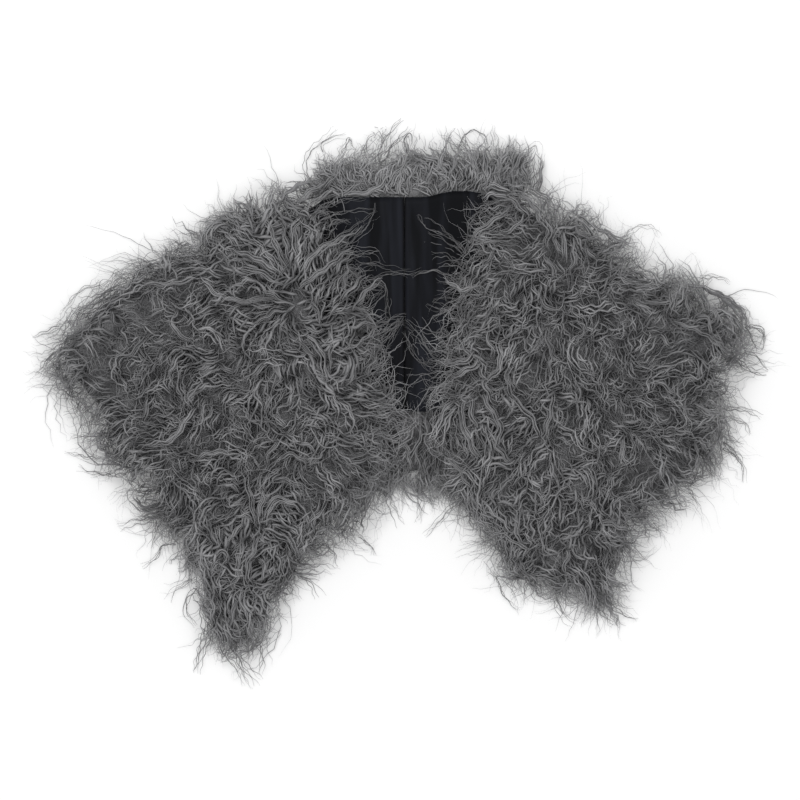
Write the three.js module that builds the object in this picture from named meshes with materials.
// A short open-fronted cloak of long curly fur cloth, laid flat on its back. The back lies with its
// lining up, and the two fronts are turned in over it, so that the lining shows between them.
// Millimetres. +Z is up, +Y points to the neck, and left and right are as seen from above.
import * as THREE from "three";

// Heights and walls
const BACK_HEIGHT = 11; // the back's lining side, over its own pile, which lies pressed on the table
const RIM_HEIGHT = 4; // the outermost locks, which lie out flat
const FRONT_THICKNESS = 29; // a front's skin and pile, over what it lies on
const LINING_WALL = 1.2;
const SEAM_GAP = 0.3;
const STACK_HEIGHT = BACK_HEIGHT + SEAM_GAP + LINING_WALL + SEAM_GAP;

// Edges: how far inside its rim a panel reaches its full height, and how far a front bridges the back's rim
const BACK_ROLL = 40;
const FRONT_ROLL = 52;
const BRIDGE_OUTSIDE = 26;
const BRIDGE_INSIDE = 10;
const BED_OVER_ROLLS = 1.25;

// Locks along a rim: each takes four points, from one hollow over its tip to the next hollow
const RIM_POINTS = 192;
const LOCK_SHAPE = [-0.45, 0.4, 1.0, 0.25];
const LOCK_SIZE = 0.7; // of the panel's tuft, give or take two slow waves from lock to lock
const LOCK_UNEVEN = [0.34, 0.26];
const LOCK_LEAN = 0.7;
const TUFT_STARTS = 0.78;

// Clumps of pile on the upper side, which run out from each panel's parting
const CLUMP_RELIEF = 3.6;
const CLUMPS_ROUND = 34;
const CLUMP_WANDER = 46;
const CLUMP_SWING = 2.4;
const CLUMP_SHARE = 0.62;
const TIER_DEPTH = 64;
const TIERS_ROUND = 5;
const TIER_SWING = 2.2;
const CALM_REACH = 70; // the pile lies even near the parting
const BACK_RELIEF = 1.4;
const BACK_RELIEF_FROM = 40; // inside this the lining starts, and the back lies smooth
const BACK_RELIEF_FADE = 30;
const FULL_TUFT = 10;

// Rings of a panel's mesh, from its rim (share 1) to its middle
const FRONT_TOP_RINGS = [
  { share: 1, count: 192 },
  { share: 0.94, count: 192 },
  { share: 0.86, count: 192 },
  { share: 0.76, count: 192 },
  { share: 0.65, count: 96 },
  { share: 0.53, count: 96 },
  { share: 0.4, count: 96 },
  { share: 0.26, count: 48 },
  { share: 0.12, count: 24 },
];
const FRONT_UNDER_RINGS = [
  { share: 1, count: 192 },
  { share: 0.92, count: 96 },
  { share: 0.82, count: 96 },
  { share: 0.72, count: 96 },
  { share: 0.62, count: 96 },
  { share: 0.52, count: 48 },
  { share: 0.4, count: 48 },
  { share: 0.2, count: 12 },
];
const BACK_TOP_RINGS = [
  { share: 1, count: 192 },
  { share: 0.94, count: 192 },
  { share: 0.87, count: 192 },
  { share: 0.8, count: 96 },
  { share: 0.73, count: 96 },
  { share: 0.66, count: 96 },
  { share: 0.5, count: 96 },
  { share: 0.42, count: 48 },
  { share: 0.2, count: 24 },
];
const BACK_UNDER_RINGS = [
  { share: 1, count: 192 },
  { share: 0.84, count: 48 },
  { share: 0.5, count: 12 },
];

// Outlines of the panels, counter-clockwise. tuft is how far the locks reach past the outline there.
const FRONT_LEFT = {
  middle: { x: -128, y: 6 },
  parting: { x: -101, y: 94 },
  turn: 0.3,
  rows: [
    { x: -60, y: 196, tuft: 3 },
    { x: -92, y: 203, tuft: 5 },
    { x: -132, y: 199, tuft: 9 },
    { x: -188, y: 164, tuft: 10 },
    { x: -258, y: 128, tuft: 11 },
    { x: -307, y: 84, tuft: 11 },
    { x: -326, y: 50, tuft: 11 },
    { x: -312, y: 8, tuft: 11 },
    { x: -290, y: -30, tuft: 11 },
    { x: -272, y: -62, tuft: 11 },
    { x: -238, y: -104, tuft: 12 },
    { x: -194, y: -146, tuft: 11 },
    { x: -189, y: -198, tuft: 12 },
    { x: -144, y: -247, tuft: 14 },
    { x: -114, y: -212, tuft: 11 },
    { x: -98, y: -176, tuft: 10 },
    { x: -54, y: -138, tuft: 12 },
    { x: -22, y: -112, tuft: 12 },
    { x: -12, y: -73, tuft: 9 },
    { x: -3, y: -3, tuft: 7 },
    { x: -8, y: 52, tuft: 8 },
    { x: -25, y: 114, tuft: 10 },
    { x: -45, y: 170, tuft: 8 },
  ],
};
const FRONT_RIGHT = {
  middle: { x: 165, y: 10 },
  parting: { x: 150, y: 150 },
  turn: -0.4,
  rows: [
    { x: 78, y: 193, tuft: 3 },
    { x: 64, y: 165, tuft: 6 },
    { x: 48, y: 122, tuft: 8 },
    { x: 34, y: 68, tuft: 8 },
    { x: 27, y: 14, tuft: 6 },
    { x: 33, y: -39, tuft: 7 },
    { x: 43, y: -82, tuft: 9 },
    { x: 65, y: -122, tuft: 10 },
    { x: 89, y: -163, tuft: 10 },
    { x: 147, y: -179, tuft: 12 },
    { x: 202, y: -191, tuft: 14 },
    { x: 204, y: -166, tuft: 10 },
    { x: 214, y: -124, tuft: 10 },
    { x: 272, y: -82, tuft: 12 },
    { x: 301, y: -30, tuft: 12 },
    { x: 302, y: 18, tuft: 12 },
    { x: 326, y: 55, tuft: 12 },
    { x: 314, y: 84, tuft: 11 },
    { x: 277, y: 114, tuft: 10 },
    { x: 222, y: 136, tuft: 10 },
    { x: 175, y: 172, tuft: 8 },
    { x: 129, y: 193, tuft: 4 },
  ],
};
const BACK = {
  middle: { x: 10, y: 70 },
  parting: { x: 10, y: 70 },
  turn: 0,
  rows: [
    { x: -90, y: 211, tuft: 6 },
    { x: -112, y: 190, tuft: 0 },
    { x: -180, y: 142, tuft: 0 },
    { x: -250, y: 98, tuft: 0 },
    { x: -300, y: 52, tuft: 0 },
    { x: -282, y: -10, tuft: 0 },
    { x: -244, y: -64, tuft: 0 },
    { x: -182, y: -120, tuft: 0 },
    { x: -92, y: -124, tuft: 0 },
    { x: -22, y: -86, tuft: 6 },
    { x: 12, y: -84, tuft: 13 },
    { x: 48, y: -92, tuft: 6 },
    { x: 106, y: -126, tuft: 0 },
    { x: 178, y: -134, tuft: 0 },
    { x: 232, y: -88, tuft: 0 },
    { x: 274, y: -24, tuft: 0 },
    { x: 300, y: 54, tuft: 0 },
    { x: 254, y: 100, tuft: 0 },
    { x: 180, y: 146, tuft: 0 },
    { x: 136, y: 194, tuft: 2 },
    { x: 124, y: 233, tuft: 8 },
    { x: 78, y: 246, tuft: 11 },
    { x: 24, y: 250, tuft: 12 },
    { x: -30, y: 247, tuft: 12 },
    { x: -70, y: 234, tuft: 12 },
  ],
};

// Pile of the back that stands up where it shows: past the neck edge and past the hem
const BACK_ROLLS = [
  { x: 18, y: 224, halfLength: 112, halfWidth: 22, height: 10 },
  { x: 12, y: -38, halfLength: 36, halfWidth: 23, height: 7 },
];

// Lining: its neck edge, its hem, how both fall away to the sides, and its soft folds
const NECK_EDGE_Y = 188;
const NECK_HALF_WIDTH = 70;
const NECK_RISE = 5.4; // the neck edge steps up to the right of the centre-back seam, between two places
const NECK_RISE_FROM = 18;
const NECK_RISE_TO = 46;
const SHOULDER_FALL = 0.8;
const HEM_EDGE_Y = -4;
const HEM_FALL = 45;
const LINING_HALF_WIDTH = 230;
const CENTRE_SEAM_X = 2;
const LINING_COLUMNS = 16;
const LINING_ROWS = 10;
const LINING_FOLDS = [
  { x: 13, y: 110, halfLength: 9, halfWidth: 55, height: 1.6 },
  { x: -16, y: 168, halfLength: 9, halfWidth: 20, height: 1.2 },
];

// Finishes
const FUR = { color: 0x646464, roughness: 0.85, metalness: 0 };
const SATIN = { color: 0x14161a, roughness: 0.38, metalness: 0 };

const ease = (share) => {
  const held = THREE.MathUtils.clamp(share, 0, 1);
  return held * (2 - held);
};
const bump = (share) => Math.max(0, 1 - share * share) ** 2;
const plateau = (share) => Math.max(0, 1 - share ** 4);

// A soft mound, long along X and narrow along Y, from one row of a table. spread widens its foot.
function moundAt(row, x, y, spread = 1) {
  const along = (x - row.x) / (spread * row.halfLength);
  const across = (y - row.y) / (spread * row.halfWidth);
  return row.height * plateau(along) * bump(across);
}

// The outline through a table's rows, as points a constant way apart. z holds the tuft.
function outlineOf(panel) {
  const rows = panel.rows.map((row) => new THREE.Vector3(row.x, row.y, row.tuft));
  const curve = new THREE.CatmullRomCurve3(rows, true, "centripetal");
  curve.arcLengthDivisions = 2400;
  return curve.getSpacedPoints(RIM_POINTS).slice(0, RIM_POINTS);
}

// How far the lock at one rim point reaches outwards and along the rim.
function lockAt(panel, step, tuft) {
  const lock = Math.floor(step / LOCK_SHAPE.length);
  const slow = LOCK_UNEVEN[0] * Math.sin(2.4 * lock);
  const quick = LOCK_UNEVEN[1] * Math.sin(5.1 * lock + panel.middle.x);
  const size = LOCK_SIZE + slow + quick;
  const out = tuft * size * LOCK_SHAPE[step % LOCK_SHAPE.length];
  const along = LOCK_LEAN * Math.max(0, out) * Math.sin(1.7 * lock);
  return { out, along };
}

// The panel's rim: plain outline points, and what the locks add to each.
function rimOf(panel) {
  const outline = outlineOf(panel);
  return outline.map((point, step) => {
    const dx = point.x - panel.middle.x;
    const dy = point.y - panel.middle.y;
    const reach = Math.hypot(dx, dy);
    const { out, along } = lockAt(panel, step, point.z);
    const tuftX = (dx * out - dy * along) / reach;
    const tuftY = (dy * out + dx * along) / reach;
    return { x: point.x, y: point.y, reach, tuftX, tuftY };
  });
}

// One ring of a panel, as plan points that know how far inside the rim they lie.
function ringOf(panel, rim, ring) {
  const points = [];
  const tufted = THREE.MathUtils.smoothstep(ring.share, TUFT_STARTS, 1);
  for (let step = 0; step < ring.count; step += 1) {
    const edge = rim[(step * RIM_POINTS) / ring.count];
    points.push({
      x: panel.middle.x + ring.share * (edge.x - panel.middle.x) + tufted * edge.tuftX,
      y: panel.middle.y + ring.share * (edge.y - panel.middle.y) + tufted * edge.tuftY,
      inset: (1 - ring.share) * edge.reach,
    });
  }
  return points;
}

// Clumps and tiers of pile, as a height between about -1 and 1.
function pileAt(panel, x, y) {
  const dx = x - panel.parting.x;
  const dy = y - panel.parting.y;
  const away = Math.hypot(dx, dy);
  const round = Math.atan2(dy, dx) + panel.turn;
  const clumps = Math.sin(CLUMPS_ROUND * round + CLUMP_SWING * Math.sin(away / CLUMP_WANDER));
  const tierTurn = TIER_SWING * Math.sin(TIERS_ROUND * round);
  const tiers = Math.sin((2 * Math.PI * away) / TIER_DEPTH + tierTurn);
  const calm = THREE.MathUtils.smoothstep(away, 0, CALM_REACH);
  return calm * THREE.MathUtils.lerp(tiers, clumps, CLUMP_SHARE);
}

// How far a plan point lies inside the back's plain outline, measured towards the back's middle.
const backRim = rimOf(BACK)
  .map((edge) => ({ angle: Math.atan2(edge.y - BACK.middle.y, edge.x - BACK.middle.x), reach: edge.reach }))
  .sort((a, b) => a.angle - b.angle);
function insideBack(x, y) {
  const dx = x - BACK.middle.x;
  const dy = y - BACK.middle.y;
  const angle = Math.atan2(dy, dx);
  const found = backRim.findIndex((edge) => edge.angle >= angle);
  const next = found < 0 ? 0 : found;
  const last = (next + backRim.length - 1) % backRim.length;
  const turn = 2 * Math.PI;
  const span = (backRim[next].angle - backRim[last].angle + turn) % turn;
  const share = ((angle - backRim[last].angle + turn) % turn) / span;
  return THREE.MathUtils.lerp(backRim[last].reach, backRim[next].reach, share) - Math.hypot(dx, dy);
}

function rollsAt(x, y, spread) {
  return BACK_ROLLS.reduce((sum, row) => sum + moundAt(row, x, y, spread), 0);
}

// What a front lies on: the table, and the lined back with a clear step over its rim.
function bedAt(x, y) {
  const over = THREE.MathUtils.smoothstep(insideBack(x, y), -BRIDGE_OUTSIDE, BRIDGE_INSIDE);
  return STACK_HEIGHT * over + BED_OVER_ROLLS * rollsAt(x, y, BED_OVER_ROLLS);
}

function backTopAt(point, tuft) {
  const rise = ease(point.inset / BACK_ROLL);
  const plain = RIM_HEIGHT + (BACK_HEIGHT - RIM_HEIGHT) * rise;
  const hidden = ease((point.inset - BACK_RELIEF_FROM) / BACK_RELIEF_FADE);
  const shown = Math.min(1, tuft / FULL_TUFT) * rise * (1 - hidden);
  const pile = BACK_RELIEF * shown * pileAt(BACK, point.x, point.y);
  return plain + rollsAt(point.x, point.y, 1) * rise + pile;
}

function frontTopAt(panel, point) {
  const rise = ease(point.inset / FRONT_ROLL);
  const pile = (FRONT_THICKNESS - RIM_HEIGHT) * rise;
  return bedAt(point.x, point.y) + RIM_HEIGHT + pile + CLUMP_RELIEF * rise * pileAt(panel, point.x, point.y);
}

// Collects points and triangles, and makes the mesh.
class Shell {
  constructor() {
    this.places = [];
    this.faces = [];
  }

  addPoints(points) {
    const start = this.places.length / 3;
    points.forEach((point) => this.places.push(point.x, point.y, point.z));
    return { start, count: points.length };
  }

  // Joins two closed rings whose counts divide, with the faces up where the outer ring comes first.
  stitch(outer, inner, up) {
    const ratio = outer.count / inner.count;
    const middle = Math.ceil(ratio / 2);
    for (let step = 0; step < inner.count; step += 1) {
      const here = inner.start + step;
      const next = inner.start + ((step + 1) % inner.count);
      for (let part = 0; part < ratio; part += 1) {
        const a = outer.start + step * ratio + part;
        const b = outer.start + ((step * ratio + part + 1) % outer.count);
        this.addFace(a, b, part < middle ? here : next, up);
      }
      this.addFace(outer.start + ((step * ratio + middle) % outer.count), next, here, up);
    }
  }

  close(ring, middle, up) {
    const hub = this.addPoints([middle]).start;
    for (let step = 0; step < ring.count; step += 1) {
      this.addFace(ring.start + step, ring.start + ((step + 1) % ring.count), hub, up);
    }
  }

  addFace(a, b, c, up) {
    this.faces.push(a, up ? b : c, up ? c : b);
  }

  mesh(name, finish) {
    const geometry = new THREE.BufferGeometry();
    geometry.setAttribute("position", new THREE.Float32BufferAttribute(this.places, 3));
    geometry.setIndex(this.faces);
    geometry.computeVertexNormals();
    const mesh = new THREE.Mesh(geometry, new THREE.MeshStandardMaterial(finish));
    mesh.name = name;
    return mesh;
  }
}

// One side of a panel, from its rim to its middle. Returns the rim's ring.
function addSide(shell, panel, rim, rings, heightAt, up) {
  const laid = rings.map((ring) =>
    shell.addPoints(
      ringOf(panel, rim, ring).map((point, step) => ({ ...point, z: heightAt(point, step, ring) })),
    ),
  );
  for (let ring = 1; ring < laid.length; ring += 1) {
    shell.stitch(laid[ring - 1], laid[ring], up);
  }
  const middle = { ...panel.middle, inset: rim[0].reach };
  shell.close(laid[laid.length - 1], { ...middle, z: heightAt(middle, 0, rings[0]) }, up);
  return laid[0];
}

function furPanel(name, panel, topRings, underRings, topAt, underAt) {
  const shell = new Shell();
  const rim = rimOf(panel);
  const top = addSide(shell, panel, rim, topRings, topAt, true);
  const under = addSide(shell, panel, rim, underRings, underAt, false);
  shell.stitch(under, top, true);
  return shell.mesh(name, FUR);
}

function front(name, panel) {
  const topAt = (point) => frontTopAt(panel, point);
  const underAt = (point) => bedAt(point.x, point.y);
  return furPanel(name, panel, FRONT_TOP_RINGS, FRONT_UNDER_RINGS, topAt, underAt);
}

function back() {
  const tufts = outlineOf(BACK).map((point) => Math.max(0, point.z));
  const topAt = (point, step, ring) => backTopAt(point, tufts[(step * RIM_POINTS) / ring.count]);
  return furPanel("back", BACK, BACK_TOP_RINGS, BACK_UNDER_RINGS, topAt, () => 0);
}

// One half of the lining, from the centre-back seam (side -1 left, 1 right) out to its side edge.
function lining(name, side) {
  const shell = new Shell();
  const columns = [];
  for (let column = 0; column <= LINING_COLUMNS; column += 1) {
    const out = SEAM_GAP / 2 + LINING_HALF_WIDTH * (column / LINING_COLUMNS) ** 2;
    const x = CENTRE_SEAM_X + side * out;
    const rise = NECK_RISE * THREE.MathUtils.smoothstep(x, NECK_RISE_FROM, NECK_RISE_TO);
    const neck = NECK_EDGE_Y + rise - SHOULDER_FALL * Math.max(0, out - NECK_HALF_WIDTH);
    const hem = HEM_EDGE_Y - HEM_FALL * (out / LINING_HALF_WIDTH) ** 2;
    const rows = [];
    for (let row = 0; row <= LINING_ROWS; row += 1) {
      const y = THREE.MathUtils.lerp(hem, neck, row / LINING_ROWS);
      const lift = LINING_FOLDS.reduce((sum, fold) => sum + moundAt(fold, x, y), 0);
      rows.push({ x, y, z: BACK_HEIGHT + SEAM_GAP + lift });
    }
    columns.push(rows);
  }
  const under = columns.map((rows) => shell.addPoints(rows).start);
  const top = columns.map(
    (rows) => shell.addPoints(rows.map((point) => ({ ...point, z: point.z + LINING_WALL }))).start,
  );
  const up = side > 0;
  const addQuad = (a, b, c, d) => {
    shell.addFace(a, b, c, up);
    shell.addFace(a, c, d, up);
  };
  for (let column = 0; column < LINING_COLUMNS; column += 1) {
    const next = column + 1;
    for (let row = 0; row < LINING_ROWS; row += 1) {
      addQuad(top[column] + row, top[next] + row, top[next] + row + 1, top[column] + row + 1);
      addQuad(under[column] + row, under[column] + row + 1, under[next] + row + 1, under[next] + row);
    }
    addQuad(under[column], under[next], top[next], top[column]);
    const end = LINING_ROWS;
    addQuad(top[column] + end, top[next] + end, under[next] + end, under[column] + end);
  }
  for (let row = 0; row < LINING_ROWS; row += 1) {
    const outer = LINING_COLUMNS;
    addQuad(under[0] + row, top[0] + row, top[0] + row + 1, under[0] + row + 1);
    addQuad(top[outer] + row, under[outer] + row, under[outer] + row + 1, top[outer] + row + 1);
  }
  return shell.mesh(name, SATIN);
}

// The whole cloak, moved so that the middle of its footprint is at the origin.
const cloak = new THREE.Group();
cloak.add(
  back(),
  lining("lining_left", -1),
  lining("lining_right", 1),
  front("front_left", FRONT_LEFT),
  front("front_right", FRONT_RIGHT),
);
const footprint = new THREE.Box3().setFromObject(cloak).getCenter(new THREE.Vector3());
cloak.position.set(-footprint.x, -footprint.y, 0);

export default cloak;
